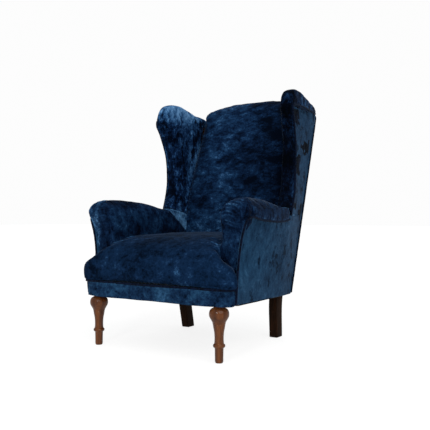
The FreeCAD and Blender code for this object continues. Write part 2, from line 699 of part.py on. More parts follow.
def dust_cover():
    """Black lining tacked under the seat frame, notched round the back legs."""
    return slab([(x, y, underside(y) - d("web_thick") - 1.6) for x, y in DUST_EDGE], (0, 0, 1.0))


def piping():
    """The cords that the seams are piped with. Returns the left side's, the seat's and the back's."""
    out = WELT_OUT
    rise = [(x + out, y - 3, z) for x, y, z in ARM_EDGE]
    under_roll = [(383.5, -300, 512), (378.5, -240, 503), (373, -165, 498), (364.5, -85, 495), (353, -5, 497),
                  (341.5, 66, 503)]
    for side, sign in (("left", 1), ("right", -1)):
        welt(f"{side}_arm_piping", [(sign * x, y, z) for x, y, z in rise + under_roll])
        edge = [(x + out, y - 3, z) for x, y, z in WING_EDGE]
        top = [(345, 180, 984), (331, 280, 984), (rear_half(981) + out, rear_y(981) - 14, 984)]
        welt(f"{side}_wing_piping", [(sign * x, y, z) for x, y, z in edge + top])
    front, half, r = d("front_y") - 2, d("front_half") + 2, d("corner_round")
    z = (d("front_top") + d("seat_base")) / 2
    c = r * (1 - math.sqrt(0.5))
    line = [(half - 1, front + r - 11, z), (half - c, front + c, z), (half - r, front, z), (150, front - 5, z),
            (0, front - 8, z)]
    welt("seat_piping", line + [(-x, y, z) for x, y, z in reversed(line[:-1])])
    corners = [back_point(x, 2.6, up) for x, up in
               ((rear_half(190) + 2, 4), (rear_half(600) + 2, 430), (rear_half(975), 800), (264, 844), (140, 877),
                (0, 899))]
    path = [tuple(p) for p in corners]
    welt("back_piping", path + [(-x, y, z) for x, y, z in reversed(path[:-1])])


def tacks():
    """Tacks round the edge of the dust cover."""
    found = []
    for (xa, ya), (xb, yb) in zip(DUST_EDGE, DUST_EDGE[1:] + DUST_EDGE[:1]):
        run = math.hypot(xb - xa, yb - ya)
        count = max(1, round(run / 62))
        for k in range(count):
            share = (k + 0.5) / count
            x, y = (xa + (xb - xa) * share) * 0.975, (ya + (yb - ya) * share) * 0.975
            found.append(Part.makeCylinder(3.5, 1.2, Vector(x, y, underside(y) - d("web_thick") - 2.9)))
    return found


# ---------------------------------------------------------------- build
seat_frame()
floor_block = DOC.addObject("Part::Box", "floor_block")
floor_block.Length, floor_block.Width, floor_block.Height = 1200, 1200, 50
floor_block.Placement.Base = Vector(-600, -600, -50)
for name, sign in (("left", 1), ("right", -1)):
    turned_leg(name, sign)
    back_post(name, sign, floor_block)
DOC.recompute()
corner_blocks()
arm_frames()
wing_frames()
back_frames()
webbing()
springs()
DOC.recompute()
piping()
upholstery()
feature("front_border", front_border())
feature("dust_cover", dust_cover())
feature("dust_cover_tacks", Part.makeCompound(tacks()))
for obj in PARTS:
    obj.Placement.Base = obj.Placement.Base + Vector(0, d("origin_shift"), 0)
DOC.recompute()

for obj in DOC.Objects:
    if {"Invalid", "Error"} & set(obj.State):
        raise RuntimeError(f"{obj.Label} failed: {obj.State}")

os.makedirs("parts", exist_ok=True)
for old in os.listdir("parts"):
    os.remove(os.path.join("parts", old))
box = FreeCAD.BoundBox()
for obj in PARTS:
    shape = obj.Shape
    if shape.isNull() or not shape.isValid() or not shape.Solids:
        raise RuntimeError(f"{obj.Label} has no valid solid")
    shape.exportStep(f"parts/{obj.Label}.step")
    box.add(shape.optimalBoundingBox())
print(f"{len(PARTS)} nodes, {box.XLength:.0f} x {box.YLength:.0f} x {box.ZLength:.0f} mm,",
      f"middle at {box.Center.x:.1f}, {box.Center.y:.1f}, lowest {box.ZMin:.1f}")
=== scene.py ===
import json
import math

import bmesh
import bpy
import numpy as np
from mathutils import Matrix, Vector, noise
from mathutils.bvhtree import BVHTree
from mathutils.kdtree import KDTree


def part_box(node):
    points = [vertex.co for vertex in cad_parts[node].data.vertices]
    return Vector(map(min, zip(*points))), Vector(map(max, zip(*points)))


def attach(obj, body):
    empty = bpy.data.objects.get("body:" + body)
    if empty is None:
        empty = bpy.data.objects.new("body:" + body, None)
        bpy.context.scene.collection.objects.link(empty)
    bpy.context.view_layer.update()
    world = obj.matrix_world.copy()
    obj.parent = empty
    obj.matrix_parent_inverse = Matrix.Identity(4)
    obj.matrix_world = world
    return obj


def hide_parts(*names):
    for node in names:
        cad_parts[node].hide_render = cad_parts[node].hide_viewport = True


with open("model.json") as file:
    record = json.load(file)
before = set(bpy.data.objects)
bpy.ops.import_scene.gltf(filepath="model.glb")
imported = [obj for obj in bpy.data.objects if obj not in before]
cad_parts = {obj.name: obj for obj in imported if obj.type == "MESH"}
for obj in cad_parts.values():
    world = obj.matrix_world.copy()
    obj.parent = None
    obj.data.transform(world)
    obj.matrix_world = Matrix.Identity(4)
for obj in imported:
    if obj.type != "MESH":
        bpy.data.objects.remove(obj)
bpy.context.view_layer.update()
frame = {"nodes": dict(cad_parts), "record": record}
cad = frame["nodes"]
scene = bpy.context.scene


def linear(hexColour, alpha=1.0):
    channels = [int(hexColour[i:i + 2], 16) / 255 for i in (0, 2, 4)]
    return [c / 12.92 if c <= 0.04045 else ((c + 0.055) / 1.055) ** 2.4 for c in channels] + [alpha]


# ---- nodes and materials

def add(tree, kind, inputs=None, **settings):
    # one node, its settings, and its inputs as values or as sockets to link from
    made = tree.nodes.new(kind)
    for name, value in settings.items():
        setattr(made, name, value)
    for name, value in (inputs or {}).items():
        if isinstance(value, bpy.types.NodeSocket):
            tree.links.new(value, made.inputs[name])
        else:
            made.inputs[name].default_value = value
    return made


def ramp(tree, factor, stops, smooth=False):
    made = add(tree, "ShaderNodeValToRGB", {"Fac": factor})
    bar = made.color_ramp
    bar.interpolation = "EASE" if smooth else "LINEAR"
    while len(bar.elements) < len(stops):
        bar.elements.new(0.5)
    for element, (place, colour) in zip(bar.elements, stops):
        element.position = place
        element.color = linear(colour) if isinstance(colour, str) else (colour, colour, colour, 1)
    return made.outputs["Color"]


def surface(name, viewColour, **values):
    # a material with one Principled shader, and the tree to build on
    material = bpy.data.materials.new(name)
    material.use_nodes = True
    material.diffuse_color = linear(viewColour)
    tree = material.node_tree
    shader = next(n for n in tree.nodes if n.type == "BSDF_PRINCIPLED")
    for key, value in values.items():
        shader.inputs[key.replace("_", " ")].default_value = value
    coords = add(tree, "ShaderNodeTexCoord").outputs["Object"]
    return material, tree, shader, coords


def bump(tree, shader, *layers):
    # layers are (height socket, distance in metres, strength), coarse ones first
    normal = None
    for height, distance, strength in layers:
        inputs = {"Height": height, "Distance": distance, "Strength": strength}
        if normal:
            inputs["Normal"] = normal
        normal = add(tree, "ShaderNodeBump", inputs).outputs["Normal"]
    tree.links.new(normal, shader.inputs["Normal"])


def noiseOf(tree, vector, perMetre, detail=3.0, rough=0.5, distortion=0.0, kind="FBM", normalize=True):
    return add(tree, "ShaderNodeTexNoise", {"Vector": vector, "Scale": perMetre, "Detail": detail,
                                            "Roughness": rough, "Distortion": distortion},
               noise_type=kind, normalize=normalize)


def warped(tree, coords, perMetre, reach):
    # coordinates pushed about by a slow noise, so that the pattern has no straight drift
    push = noiseOf(tree, coords, perMetre, 2.0).outputs["Color"]
    centred = add(tree, "ShaderNodeVectorMath", {0: push, 1: (0.5, 0.5, 0.5)}, operation="SUBTRACT").outputs[0]
    scaled = add(tree, "ShaderNodeVectorMath", {0: centred, "Scale": reach}, operation="SCALE").outputs[0]
    return add(tree, "ShaderNodeVectorMath", {0: coords, 1: scaled}, operation="ADD").outputs[0]


# Crushed polyester velvet: the pile is pressed every way in patches 10 to 30 mm across, so that one patch
# shows the ends of its tufts, near black, and the next their sides, a greyed steel blue. lay stretches the
# patches the way the cloth was drawn over each pad, and blots are the few patches pressed hardest. The last
# list of each look is painted light and shade: parts of a pad made lighter where light falls on them and
# darker where shade falls, given as direction, from, to, amount.
velvetLooks = {
    # seat: painted shade deepening towards the back, painted light on its left end
    "seat": {"lay": (0.9, 1.0, 1.0), "patch": 30, "cloud": 6, "deep": "010816", "mid": "061930", "pale": "0b213c",
             "bright": "2d5276", "stops": (0.41, 0.50, 0.57, 0.68), "sheen": 0.2, "grain": 0.18,
             "blots": (20, 0.56, 0.68, -0.06), "painted_light_and_shade": [((0, 1, 0), -0.2, 0.1, -0.02), ((1, 0, 0), 0.2, 0.32, 0.04)]},
    # back: painted shade over its left half beside the wing, painted light on its lower part
    "back": {"lay": (0.65, 1.0, 1.15), "patch": 31, "cloud": 5, "deep": "010612", "mid": "06172f", "pale": "132f4e",
             "bright": "46719c", "stops": (0.42, 0.50, 0.58, 0.70), "sheen": 0.3, "grain": 0.2,
             "blots": (12, 0.54, 0.68, -0.07),
             "painted_light_and_shade": [((1, 0, 0), -0.02, 0.2, -0.06), ((0, 0, -1), -0.62, -0.5, 0.045)]},
    # wing: painted light on the top of the ear
    "wing": {"lay": (1.1, 1.1, 0.7), "patch": 32, "cloud": 6, "deep": "00040f", "mid": "081c39", "pale": "264a70",
             "bright": "6089b2", "stops": (0.43, 0.50, 0.57, 0.68), "sheen": 0.3, "grain": 0.2,
             "blots": (13, 0.55, 0.66, -0.1), "painted_light_and_shade": [((0, 0, 1), 0.93, 1.02, 0.09)]},
    # a darker copy of the wing velvet, with less sheen, for the left wing, whose inner face is turned from the light:
    # painted shade; its ear top gets painted light
    "painted_shade_wing": {"lay": (1.1, 1.1, 0.7), "patch": 32, "cloud": 6, "deep": "000206", "mid": "010512",
                   "pale": "071a33", "bright": "234467", "stops": (0.45, 0.52, 0.60, 0.70), "sheen": 0.12, "grain": 0.2,
                   "blots": (13, 0.55, 0.66, -0.06), "painted_light_and_shade": [((0, 0, 1), 0.95, 1.01, 0.08)]},
    # arm: painted light along the right arm's outer side and over the arms' upper rear
    "arm": {"lay": (1.1, 1.0, 0.75), "patch": 27, "cloud": 7, "deep": "01040f", "mid": "05152c", "pale": "122c49",
            "bright": "4a759c", "stops": (0.43, 0.51, 0.60, 0.73), "sheen": 0.25, "grain": 0.2,
            "blots": (12, 0.55, 0.68, -0.04),
            "painted_light_and_shade": [((-1, 0, 0), 0.318, 0.338, 0.11), ((0, 0.63, 0.777), 0.4525, 0.4575, 0.16)]},
    "border": {"lay": (0.9, 1.0, 1.0), "patch": 32, "cloud": 6, "deep": "020a1a", "mid": "0d223b", "pale": "193752",
               "bright": "365c80", "stops": (0.40, 0.49, 0.57, 0.72), "sheen": 0.3, "grain": 0.18,
               "blots": (20, 0.58, 0.68, -0.05), "painted_light_and_shade": []},
    "panel": {"lay": (1.0, 1.0, 0.8), "patch": 26, "cloud": 5, "deep": "03101f", "mid": "10283f", "pale": "17354f",
              "bright": "294d6a", "stops": (0.36, 0.46, 0.56, 0.68), "sheen": 0.3, "grain": 0.15,
              "blots": (23, 0.565, 0.64, -0.12), "painted_light_and_shade": []}}


def shifted(tree, lieAndPaintedLight, value, low, high, amount):
    # a value moved by up to an amount where another value runs from low to high: the blots, and the painted light,
    # shade and highlights
    lean = add(tree, "ShaderNodeMapRange", {"Value": value, "From Min": low, "From Max": high, "To Min": 0.0,
                                            "To Max": amount}, interpolation_type="SMOOTHSTEP").outputs["Result"]
    return add(tree, "ShaderNodeMath", {0: lieAndPaintedLight, 1: lean}, operation="ADD").outputs[0]


def velvetMaterial(name, look):
    material, tree, shader, coords = surface("crushed_velvet_" + name, look["mid"], Sheen_Weight=look["sheen"],
                                             Sheen_Roughness=0.25, Sheen_Tint=linear("8fa8c8"),
                                             Specular_IOR_Level=0.02)
    laid = add(tree, "ShaderNodeMapping", {"Vector": coords, "Scale": look["lay"]}).outputs[0]
    bent = warped(tree, laid, 26, 0.012)
    patches = noiseOf(tree, bent, look["patch"], 5.0, 0.62, 0.2).outputs["Fac"]
    specks = noiseOf(tree, bent, look["patch"] * 3.1, 3.0, 0.6, 0.2).outputs["Fac"]
    clouds = noiseOf(tree, coords, look["cloud"], 2.0).outputs["Fac"]
    ragged = add(tree, "ShaderNodeMix", {"Factor": 0.36, "A": patches, "B": specks}, data_type="FLOAT").outputs["Result"]
    lieAndPaintedLight = add(tree, "ShaderNodeMix", {"Factor": 0.28, "A": ragged, "B": clouds}, data_type="FLOAT").outputs["Result"]
    grain = noiseOf(tree, coords, 270, 2.0, 0.6).outputs["Fac"]
    lieAndPaintedLight = add(tree, "ShaderNodeMix", {"Factor": look["grain"], "A": lieAndPaintedLight, "B": grain}, data_type="FLOAT").outputs["Result"]
    perMetre, low, high, amount = look["blots"]
    lieAndPaintedLight = shifted(tree, lieAndPaintedLight, noiseOf(tree, bent, perMetre, 3.0, 0.6).outputs["Fac"], low, high, amount)
    # painted light and shade: the pattern lightened or darkened along a direction across the pad
    for way, low, high, amount in look["painted_light_and_shade"]:
        along = add(tree, "ShaderNodeVectorMath", {0: coords, 1: way}, operation="DOT_PRODUCT").outputs["Value"]
        lieAndPaintedLight = shifted(tree, lieAndPaintedLight, along, low, high, amount)
    folds = add(tree, "ShaderNodeAttribute", attribute_name="painted_highlight").outputs["Fac"]
    # painted highlight: the colour is lightened where the points carry it, on fold lips, seam edges and the seat's rim
    lieAndPaintedLight = shifted(tree, lieAndPaintedLight, folds, 0.0, 1.0, 0.13)
    colour = ramp(tree, lieAndPaintedLight, list(zip(look["stops"], (look["deep"], look["mid"], look["pale"], look["bright"]))))
    tree.links.new(colour, shader.inputs["Base Color"])
    tree.links.new(ramp(tree, lieAndPaintedLight, [(0.4, 0.95), (0.65, 0.6)]), shader.inputs["Roughness"])
    pile = noiseOf(tree, coords, 1600, 2.0, 0.6).outputs["Fac"]
    bump(tree, shader, (ragged, 0.005, 0.32), (pile, 0.0004, 0.3))
    return material


velvets = {name: velvetMaterial(name, look) for name, look in velvetLooks.items()}


# Bias-cut velvet sewn round a cord: its pile lies flat and dark, with faint slanting pulls from the sewing.
def pipingMaterial():
    material, tree, shader, coords = surface("piping_cloth", "03081a", Sheen_Weight=0.12, Sheen_Roughness=0.4,
                                             Sheen_Tint=linear("5f86b0"), Specular_IOR_Level=0.06, Roughness=0.9)
    blot = noiseOf(tree, coords, 90, 3.0).outputs["Fac"]
    tree.links.new(ramp(tree, blot, [(0.35, "00020a"), (0.7, "040e24")]), shader.inputs["Base Color"])
    pulls = noiseOf(tree, coords, 420, 2.0, 0.5, 0.8).outputs["Fac"]
    bump(tree, shader, (pulls, 0.0008, 0.5))
    return material


pipingMat = pipingMaterial()


# Turned walnut under satin lacquer: the grain runs up the leg.
def woodMaterial(name, dark, mid, light, grain, rough, coat):
    material, tree, shader, coords = surface(name, mid, Coat_Weight=coat, Coat_Roughness=0.12,
                                             Specular_IOR_Level=0.05)
    along = add(tree, "ShaderNodeMapping", {"Vector": coords, "Scale": (1.0, 1.0, 0.09)}).outputs[0]
    bent = warped(tree, along, 12, 0.02)
    bands = noiseOf(tree, bent, grain, 5.0, 0.62, 0.5).outputs["Fac"]
    fibres = noiseOf(tree, along, grain * 9, 3.0, 0.6).outputs["Fac"]
    mixed = add(tree, "ShaderNodeMix", {"Factor": 0.35, "A": bands, "B": fibres}, data_type="FLOAT").outputs["Result"]
    tree.links.new(ramp(tree, mixed, [(0.32, dark), (0.5, mid), (0.68, light)]), shader.inputs["Base Color"])
    tree.links.new(ramp(tree, fibres, [(0.3, rough + 0.12), (0.7, rough - 0.05)]), shader.inputs["Roughness"])
    bump(tree, shader, (fibres, 0.0003, 0.25))
    return material


walnutMat = woodMaterial("turned_walnut", "27120a", "48260f", "693c1a", 55, 0.35, 0.3)
stainedMat = woodMaterial("stained_beech", "080300", "170a03", "2b1506", 60, 0.7, 0.0)
beechMat = woodMaterial("raw_beech", "a8825a", "c9a77c", "dcc19a", 40, 0.7, 0.0)


# Woven jute, used for the straps and, finer, for the hessian: crossing yarns with slubs.
def wovenMaterial(name, dark, light, yarn):
    material, tree, shader, coords = surface(name, light, Roughness=0.95, Specular_IOR_Level=0.1)
    warp = add(tree, "ShaderNodeTexWave", {"Vector": coords, "Scale": yarn, "Distortion": 1.2, "Detail": 1.0},
               bands_direction="X").outputs["Fac"]
    weft = add(tree, "ShaderNodeTexWave", {"Vector": coords, "Scale": yarn, "Distortion": 1.2, "Detail": 1.0},
               bands_direction="Y").outputs["Fac"]
    cross = add(tree, "ShaderNodeMath", {0: warp, 1: weft}, operation="MULTIPLY").outputs[0]
    tree.links.new(ramp(tree, cross, [(0.1, dark), (0.7, light)]), shader.inputs["Base Color"])
    bump(tree, shader, (cross, 0.0006, 0.6))
    return material


juteMat = wovenMaterial("jute_strap", "6b4f2e", "b3905f", 160)
hessianMat = wovenMaterial("hessian_cloth", "7a5d38", "c2a371", 260)


# Black spun-bonded lining: matt, with a faint stamped dot pattern and slack ripples.
def cambricMaterial():
    material, tree, shader, coords = surface("black_lining", "101012", Roughness=0.9, Specular_IOR_Level=0.2)
    dots = add(tree, "ShaderNodeTexVoronoi", {"Vector": coords, "Scale": 500.0}).outputs["Distance"]
    fog = noiseOf(tree, coords, 30, 3.0).outputs["Fac"]
    tree.links.new(ramp(tree, fog, [(0.3, "08080a"), (0.7, "151518")]), shader.inputs["Base Color"])
    bump(tree, shader, (fog, 0.004, 0.3), (dots, 0.0002, 0.4))
    return material


cambricMat = cambricMaterial()


# Bright zinc plating on screws and tacks, coppered wire on the springs: fine drawing marks.
def metalMaterial(name, dark, light, rough):
    material, tree, shader, coords = surface(name, light, Metallic=1.0)
    marks = noiseOf(tree, coords, 900, 2.0).outputs["Fac"]
    tree.links.new(ramp(tree, marks, [(0.3, dark), (0.7, light)]), shader.inputs["Base Color"])
    tree.links.new(ramp(tree, marks, [(0.3, rough + 0.1), (0.7, rough)]), shader.inputs["Roughness"])
    bump(tree, shader, (marks, 0.0001, 0.2))
    return material


zincMat = metalMaterial("zinc_plate", "7d7f82", "b4b6b8", 0.3)
springMat = metalMaterial("coppered_wire", "8a6a50", "b08a6a", 0.35)


def stuffingMaterial():
    material, tree, shader, coords = surface("fibre_stuffing", "d8d2c0", Roughness=1.0)
    curl = noiseOf(tree, coords, 220, 5.0, 0.7, 1.5).outputs["Fac"]
    tree.links.new(ramp(tree, curl, [(0.3, "b0a890"), (0.7, "e6e0d0")]), shader.inputs["Base Color"])
    bump(tree, shader, (curl, 0.003, 0.7))
    return material


stuffingMat = stuffingMaterial()
finishOf = {"velvet_cover": velvets["seat"], "velvet_panel": velvets["panel"], "piping_cloth": pipingMat,
            "leg_walnut": walnutMat, "post_stained_beech": stainedMat, "frame_beech": beechMat,
            "jute_webbing": juteMat, "hessian": hessianMat, "dust_cambric": cambricMat,
            "steel_fixings": zincMat, "spring_steel": springMat, "stuffing": stuffingMat}
slotOf = {row["node"]: row["material_slot"] for row in frame["record"]["subparts"]}
for name, piece in cad.items():
    piece.data.materials.clear()
    piece.data.materials.append(finishOf[slotOf[name]])
print("materials are on the CAD nodes")


# ---- mesh helpers

def newPiece(name, mesh, material, slotName):
    piece = bpy.data.objects.new(name, mesh)
    scene.collection.objects.link(piece)
    mesh.materials.clear()
    mesh.materials.append(material)
    piece["slotName"] = slotName
    return piece


def joined(names, boxes=()):
    # the named CAD nodes in one mesh with their doubles merged, and boxes that fill what is hollow inside
    sheet = bmesh.new()
    for name in names:
        sheet.from_mesh(cad[name].data)
    bmesh.ops.remove_doubles(sheet, verts=sheet.verts, dist=0.00002)
    for low, high in boxes:
        cube = bmesh.ops.create_cube(sheet, size=1.0)["verts"]
        size, middle = Vector(high) - Vector(low), (Vector(high) + Vector(low)) / 2
        for vert in cube:
            vert.co = Vector(a * b for a, b in zip(vert.co, size)) + middle
    mesh = bpy.data.meshes.new("joined")
    sheet.to_mesh(mesh)
    sheet.free()
    return mesh


def applied(piece):
    bpy.context.view_layer.update()
    mesh = bpy.data.meshes.new_from_object(piece.evaluated_get(bpy.context.evaluated_depsgraph_get()))
    piece.modifiers.clear()
    piece.data = mesh
    return piece


def points(piece):
    co = np.empty(len(piece.data.vertices) * 3, np.float32)
    piece.data.vertices.foreach_get("co", co)
    return co.reshape(-1, 3).astype(float)


def normals(piece):
    no = np.empty(len(piece.data.vertices) * 3, np.float32)
    piece.data.vertices.foreach_get("normal", no)
    return no.reshape(-1, 3).astype(float)


def setPoints(piece, co):
    piece.data.vertices.foreach_set("co", co.astype(np.float32).ravel())
    piece.data.update()


def shadeSmooth(piece):
    piece.data.polygons.foreach_set("use_smooth", [True] * len(piece.data.polygons))


def relaxed(piece, rounds, hold=None, share=0.5):
    # plain smoothing; hold is 0 where a point moves freely and 1 where it stays
    co = points(piece)
    edges = np.empty(len(piece.data.edges) * 2, np.int32)
    piece.data.edges.foreach_get("vertices", edges)
    a, b = edges.reshape(-1, 2).T
    count = np.bincount(a, minlength=len(co)) + np.bincount(b, minlength=len(co))
    free = 1.0 if hold is None else (1 - hold)[:, None]
    for _ in range(rounds):
        total = np.zeros_like(co)
        for axis in range(3):
            total[:, axis] = np.bincount(a, co[b, axis], len(co)) + np.bincount(b, co[a, axis], len(co))
        co += share * free * (total / count[:, None] - co)
    setPoints(piece, co)


def smoothstep(x, low, high):
    t = np.clip((x - low) / (high - low), 0, 1)
    return t * t * (3 - 2 * t)


def subdivided(piece, levels=1):
    finer = piece.modifiers.new("finer", "SUBSURF")
    finer.levels = finer.render_levels = levels
    return applied(piece)


def smoothLine(corners, step=0.004):
    # points a few millimetres apart on a smooth line through the corners, which are in millimetres
    p = np.array(corners, float) / 1000
    p = np.vstack([2 * p[0] - p[1], p, 2 * p[-1] - p[-2]])
    line = []
    for a, b, c, d in zip(p, p[1:], p[2:], p[3:]):
        count = max(2, int(np.linalg.norm(c - b) / step))
        for t in np.arange(count) / count:
            line.append(b + 0.5 * ((c - a) * t + (2 * a - 5 * b + 4 * c - d) * t ** 2
                                   + (3 * b - a - 3 * c + d) * t ** 3))
    return np.array(line + [p[-2]])


def nearLine(co, line):
    # distance of each point from a line, and how far along it the nearest place is, from 0 to 1
    lookup = KDTree(len(line))
    for index, place in enumerate(line):
        lookup.insert(place, index)
    lookup.balance()
    found = [lookup.find(p)[1:] for p in co]
    return np.array([f[1] for f in found]), np.array([f[0] for f in found]) / (len(line) - 1)


def nearNodes(co, names, reach=0.03):
    # distance of each point from the nearest of some CAD nodes
    gap = np.full(len(co), reach)
    for name in names:
        mesh = cad[name].data
        tree = BVHTree.FromPolygons([v.co for v in mesh.vertices], [p.vertices for p in mesh.polygons])
        for index, p in enumerate(co):
            found = tree.find_nearest(p, gap[index])
            if found[0] is not None:
                gap[index] = min(gap[index], found[3])
    return gap


def skin(name, names, voxel, rounds, swell, boxes, seams, material):
    # one closed skin over CAD nodes: its sharp edges relaxed, except beside the seams that piping covers
    piece = newPiece(name, joined(names, boxes), material, "velvet_cover")
    remesh = piece.modifiers.new("remesh", "REMESH")
    remesh.mode = "VOXEL"
    remesh.voxel_size = voxel
    applied(piece)
    co = points(piece)
    hold = np.zeros(len(co))
    for seam in seams:
        hold = np.maximum(hold, 1 - smoothstep(nearLine(co, seam)[0], 0.007, 0.022))
    relaxed(piece, rounds, hold)
    setPoints(piece, points(piece) + normals(piece) * swell * (1 - hold)[:, None])
    piece.data.materials.clear()
    piece.data.materials.append(material)
    shadeSmooth(piece)
    return piece, hold


def rumpled(piece, perMetre, height, seed=0.0, hold=None, stretch=(1, 1, 1)):
    # slow unevenness of hand-laid stuffing
    co = points(piece)
    lifts = np.array([noise.noise(Vector(p * perMetre * np.array(stretch)) + Vector((seed, seed, 0))) for p in co])
    free = 1 if hold is None else 1 - hold
    setPoints(piece, co + normals(piece) * (lifts * height * free)[:, None])


def painted_highlight(piece, amount):
    # painted highlight: how much the velvet's colour is lightened here, from 0 to 1, kept on the points for the velvet
    # to read
    field = piece.data.attributes.get("painted_highlight") or piece.data.attributes.new("painted_highlight", "FLOAT", "POINT")
    now = np.empty(len(piece.data.vertices), np.float32)
    field.data.foreach_get("value", now)
    field.data.foreach_set("value", np.maximum(now, amount).astype(np.float32))


def creased(piece, strokes, shine):
    # pulled folds: a narrow valley along each stroke, with a soft lip on both sides, fading at its ends; the lips also
    # get a painted highlight
    co, lift, light = points(piece), 0, 0
    for corners, width, depth in strokes:
        gap, along = nearLine(co, smoothLine(corners, 0.003))
        fade = np.sqrt(np.clip(np.sin(np.pi * np.clip(along, 0.002, 0.998)), 0, 1))
        valley = np.exp(-(gap / width) ** 2) - 0.45 * np.exp(-((gap - 2.1 * width) / width) ** 2)
        lift = lift - valley * fade * depth
        light = np.maximum(light, np.exp(-((gap - 1.6 * width) / (0.7 * width)) ** 2) * fade * shine)
    setPoints(piece, co + normals(piece) * np.asarray(lift)[:, None])
    painted_highlight(piece, light)


def drawnTo(piece, seam, full, reach, share=1.0):
    # cloth beside a seam is pulled in under its piping, so that nothing behind shows
    co = points(piece)
    lookup = KDTree(len(seam))
    for index, place in enumerate(seam):
        lookup.insert(place, index)
    lookup.balance()
    for index, p in enumerate(co):
        place, near, gap = lookup.find(p)
        if gap < reach:
            pull = share * (1 - float(smoothstep(gap, full, reach)))
            co[index] = p + (np.array(place) - p) * pull
    setPoints(piece, co)


def puckered(piece, seam, spacing, depth, reach=0.014):
    # the small regular pulls that sewing leaves beside a piped seam, and a painted highlight along the seam's edge
    co = points(piece)
    gap, along = nearLine(co, seam)
    length = len(seam) * 0.004
    wave = 0.5 + 0.5 * np.sin(2 * np.pi * along * length / spacing + 1.7 * np.sin(along * length * 31))
    beside = np.exp(-((gap - reach) / (0.6 * reach)) ** 2)
    setPoints(piece, co - normals(piece) * (wave * beside * depth)[:, None])
    painted_highlight(piece, 0.45 * np.exp(-((gap - 0.0075) / 0.0035) ** 2))


# ---- seams

# the piped seams in millimetres, for the sitter's left side; the right side is their mirror image
seamCorners = {
    "arm": [(353.6, -369.5, 205), (357.6, -369.5, 258), (352.6, -357.5, 300), (344.6, -339.5, 330),
            (347.6, -334.5, 382), (356.6, -333.5, 438), (369.6, -333.5, 482), (381, -328, 508),
            (383.5, -292.5, 512), (378.5, -232.5, 503), (373, -157.5, 498), (364.5, -77.5, 495), (353, 2.5, 497),
            (341.5, 73.5, 503)],
    "wing": [(337.6, 92.5, 520), (338.6, 123.5, 610), (336.6, 134.5, 690), (341.6, 130.5, 802), (350.6, 98.5, 900),
             (355.6, 76, 946), (353.6, 92, 976), (345, 187.5, 984), (331, 287.5, 984), (313.5, 390, 984)],
    "seat": [(353, -373.5, 258), (340.5, -395, 258), (308, -408.5, 258), (150, -413.5, 258), (0, -416.5, 258)],
    "back": [(280.2, 209, 188.2), (288.4, 260.5, 394.9), (296.6, 312, 601.6), (303.2, 356.8, 781.1),
             (308.6, 396, 938), (305, 407, 975), (284, 411, 996), (264, 412.6, 1004.6), (202, 416.2, 1019.6),
             (140, 420.2, 1035.3), (70, 423.4, 1048), (0, 425.5, 1056.7)]}


def flipped(corners):
    return [(-x, y, z) for x, y, z in corners]


def across(corners):
    # a seam that runs from one side over the middle to the other
    return smoothLine(corners + flipped(corners[-2::-1]))


sides = (("left", 1), ("right", -1))
seams = {"seat": across(seamCorners["seat"]), "back": across(seamCorners["back"])}
for side, sign in sides:
    for part in ("arm", "wing"):
        corners = seamCorners[part]
        seams[side + part] = smoothLine(corners if sign > 0 else flipped(corners))

# ---- padded pieces

padding = {"seatVoxel": 0.0068, "backVoxel": 0.0072, "armVoxel": 0.0062, "wingVoxel": 0.0062, "slack": -0.001,
           "pressure": 4.0, "frames": 18, "seatCap": 0.009, "sideCap": 0.006, "press": 0.006}
pads, held = {}, {}
start = padding["slack"]
pads["seat"], held["seat"] = skin(
    "seat_pad", ["seat_cover", "seat_stuffing"], padding["seatVoxel"], 12, start,
    [((-0.235, -0.38, 0.2555), (0.235, 0.12, 0.372))], [seams["seat"], seams["leftarm"], seams["rightarm"]],
    velvets["seat"])
pads["back"], held["back"] = skin(
    "inside_back_pad", ["back_cover", "back_stuffing"], padding["backVoxel"], 12, start, (), [seams["back"]],
    velvets["back"])
for side, sign in sides:
    pads[side + "Arm"], held[side + "Arm"] = skin(
        side + "_arm_pad", [side + end for end in ("_arm_cover", "_arm_stuffing", "_arm_stump", "_arm_rail",
                                                   "_arm_tacking_rail")],
        padding["armVoxel"], 8, start, (), [seams[side + "arm"], seams[side + "wing"]], velvets["arm"])
    # the left wing wears the darker velvet copy, painted shade
    pads[side + "Wing"], held[side + "Wing"] = skin(
        side + "_wing_pad", [side + end for end in ("_wing_cover", "_wing_stuffing", "_wing_post", "_wing_rail")],
        padding["wingVoxel"], 9, start, (), [seams[side + "wing"], seams[side + "arm"]],
        velvets["painted_shade_wing" if sign > 0 else "wing"])
print("padded skins:", {k: len(p.data.vertices) for k, p in pads.items()})

touching = {"seat": ["left_arm_cover", "right_arm_cover", "back_cover", "left_outside_panel",
                     "right_outside_panel", "front_border"],
            "back": ["left_wing_cover", "right_wing_cover", "outside_back_panel", "seat_cover", "left_arm_cover",
                     "right_arm_cover"]}
for side, sign in sides:
    touching[side + "Arm"] = [side + "_outside_panel", side + "_wing_cover", "seat_cover", "back_cover"]
    touching[side + "Wing"] = [side + "_outside_panel", side + "_arm_cover", "back_cover"]


